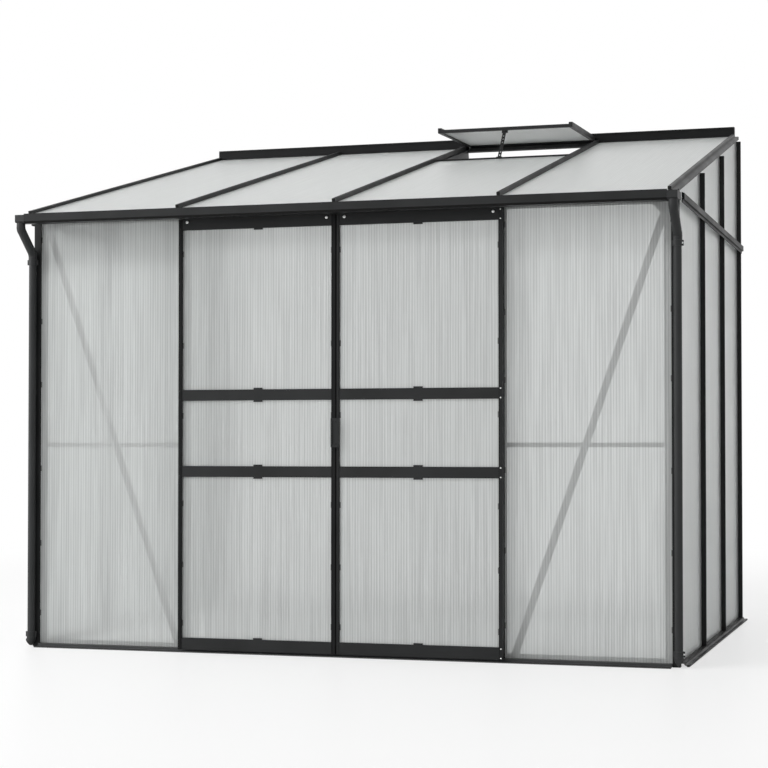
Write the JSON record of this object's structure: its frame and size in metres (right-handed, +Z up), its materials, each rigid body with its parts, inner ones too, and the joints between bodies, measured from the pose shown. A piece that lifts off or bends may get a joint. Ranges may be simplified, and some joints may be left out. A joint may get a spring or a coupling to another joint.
{
  "type": "lean-to greenhouse",
  "caption": "Lean-to greenhouse: slender aluminium frame glazed with twin-wall sheet, sliding doors hung under the gutter, a roof vent held open and corner downpipes.",
  "frame": {"origin": "on the ground in the middle of the footprint, halfway between the front of the gutter and the wall", "axes": "+X to the right along the front, +Y to the house wall, +Z up"},
  "size_m": [2.572, 2.033, 2.2063],
  "materials": {
    "frame": "anthracite powder coat, fine satin",
    "door_frame": "anthracite powder coat, fine satin",
    "handle": "anthracite powder coat, fine satin",
    "runner": "moulded nylon rollers on a dark hanger",
    "rainwater": "black extruded plastic, low sheen",
    "glazing": "milky twin-wall polycarbonate with fine vertical ribs"
  },
  "bodies": {
    "frame": {"front_base_rail": "frame", "left_base_rail": "frame", "right_base_rail": "frame", "rear_base_rail": "frame", "left_corner_post": "frame", "right_corner_post": "frame", "door_jambs": "frame", "left_gable_bars": "frame", "right_gable_bars": "frame", "left_wall_post": "frame", "right_wall_post": "frame", "eave_beam": "frame", "door_track": "frame", "gable_eave_bars": "frame", "left_end_rafter": "frame", "right_end_rafter": "frame", "roof_bars": "frame", "wall_plate": "frame", "front_mid_rails": "frame", "front_braces": "frame", "eave_gussets": "frame", "vent_curb": "frame", "vent_sash": "frame", "vent_stay": "frame", "gutter": "frame", "front_sheets": "glazing", "left_gable_sheets": "glazing", "right_gable_sheets": "glazing", "roof_sheets": "glazing", "vent_sheet": "glazing", "gutter_outlets": "rainwater", "pipe_elbows": "rainwater", "downpipes": "rainwater", "pipe_clips": "rainwater", "pipe_shoes": "rainwater"},
    "left_door": {"left_door_stiles": "door_frame", "left_door_rails": "door_frame", "left_door_sheets": "glazing", "left_door_hangers": "runner", "left_door_pull": "handle"},
    "right_door": {"right_door_stiles": "door_frame", "right_door_rails": "door_frame", "right_door_sheets": "glazing", "right_door_hangers": "runner"}
  },
  "joints": [
    {"name": "left_door_slide", "type": "slide", "parent": "frame", "child": "left_door", "axis": [-1, 0, 0], "range_m": [0, 0.58]},
    {"name": "right_door_slide", "type": "slide", "parent": "frame", "child": "right_door", "axis": [1, 0, 0], "range_m": [0, 0.58]}
  ]
}
